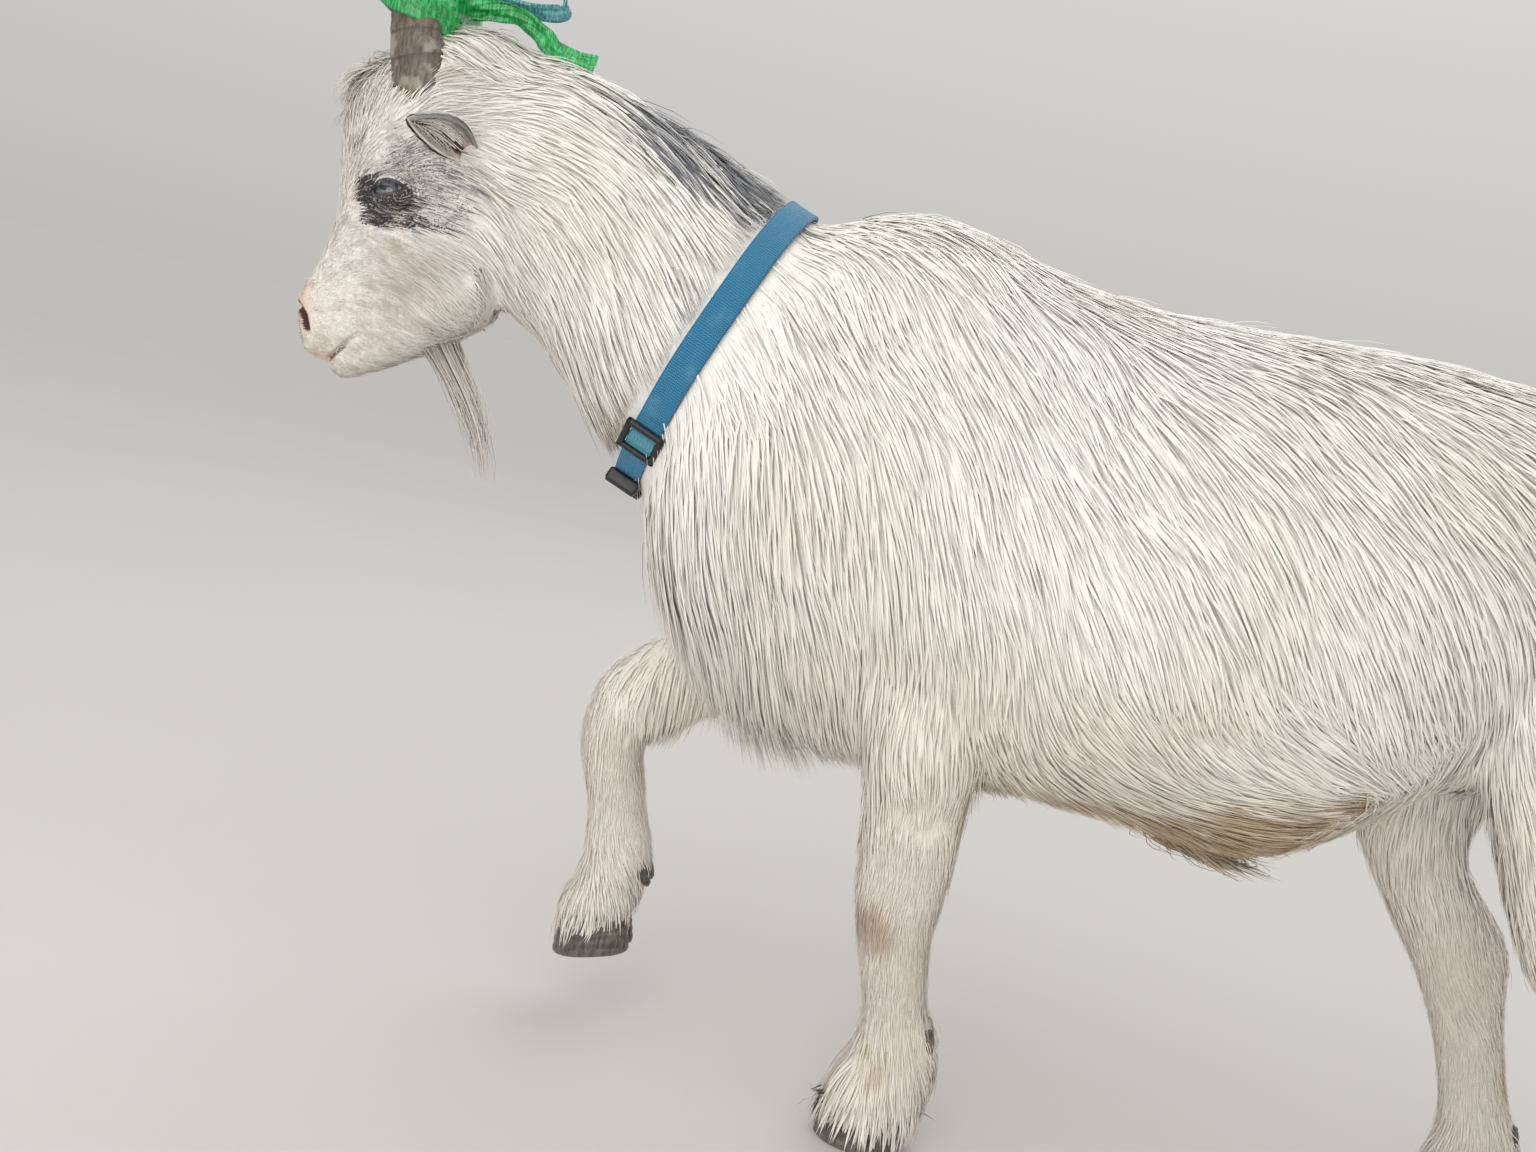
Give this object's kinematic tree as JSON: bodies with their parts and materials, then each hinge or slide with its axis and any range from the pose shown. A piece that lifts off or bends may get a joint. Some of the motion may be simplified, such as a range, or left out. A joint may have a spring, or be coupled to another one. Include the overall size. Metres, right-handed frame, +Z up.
{
  "type": "goat",
  "caption": "Small white goat standing in mid step, one fore leg raised, with long coat, mane, beard and horns, a webbing collar and a ribbon tied round the horns.",
  "frame": {"origin": "on the floor, in the middle of the goat's bounding box", "axes": "+Z up, the goat faces -Y, its left side is towards +X"},
  "size_m": [0.3064, 1.0968, 0.8088],
  "materials": {
    "coat": "long white goat hair, slate grey on the mane and round the eyes",
    "eye": "wet, pale blue-grey iris with a dark level pupil",
    "horn": "grey-brown ridged horn",
    "hoof": "dark grey-brown hoof horn",
    "webbing": "blue woven nylon webbing",
    "black_plastic": "black moulded plastic",
    "ribbon_green": "shiny green ribbon",
    "ribbon_teal": "sheer teal ribbon"
  },
  "bodies": {
    "root": {"torso": "coat", "neck": "coat", "head": "coat", "tail": "coat", "ear_left": "coat", "ear_right": "coat", "eye_left": "eye", "eye_right": "eye", "horn_left": "horn", "horn_right": "horn", "leg_front_left_upper": "coat", "leg_front_left_lower": "coat", "leg_front_right_upper": "coat", "leg_front_right_lower": "coat", "leg_hind_left_upper": "coat", "leg_hind_left_middle": "coat", "leg_hind_left_lower": "coat", "leg_hind_right_upper": "coat", "leg_hind_right_middle": "coat", "leg_hind_right_lower": "coat", "hoof_front_left_outer": "hoof", "hoof_front_left_inner": "hoof", "hoof_front_right_outer": "hoof", "hoof_front_right_inner": "hoof", "hoof_hind_left_outer": "hoof", "hoof_hind_left_inner": "hoof", "hoof_hind_right_outer": "hoof", "hoof_hind_right_inner": "hoof", "dewclaw_front_left_outer": "hoof", "dewclaw_front_left_inner": "hoof", "dewclaw_front_right_outer": "hoof", "dewclaw_front_right_inner": "hoof", "dewclaw_hind_left_outer": "hoof", "dewclaw_hind_left_inner": "hoof", "dewclaw_hind_right_outer": "hoof", "dewclaw_hind_right_inner": "hoof", "collar_strap": "webbing", "collar_slider": "black_plastic", "collar_buckle": "black_plastic", "ribbon_band": "ribbon_green", "ribbon_tail": "ribbon_green", "ribbon_loop_left": "ribbon_green", "ribbon_loop_right": "ribbon_green", "ribbon_loop_teal": "ribbon_teal"}
  },
  "joints": []
}
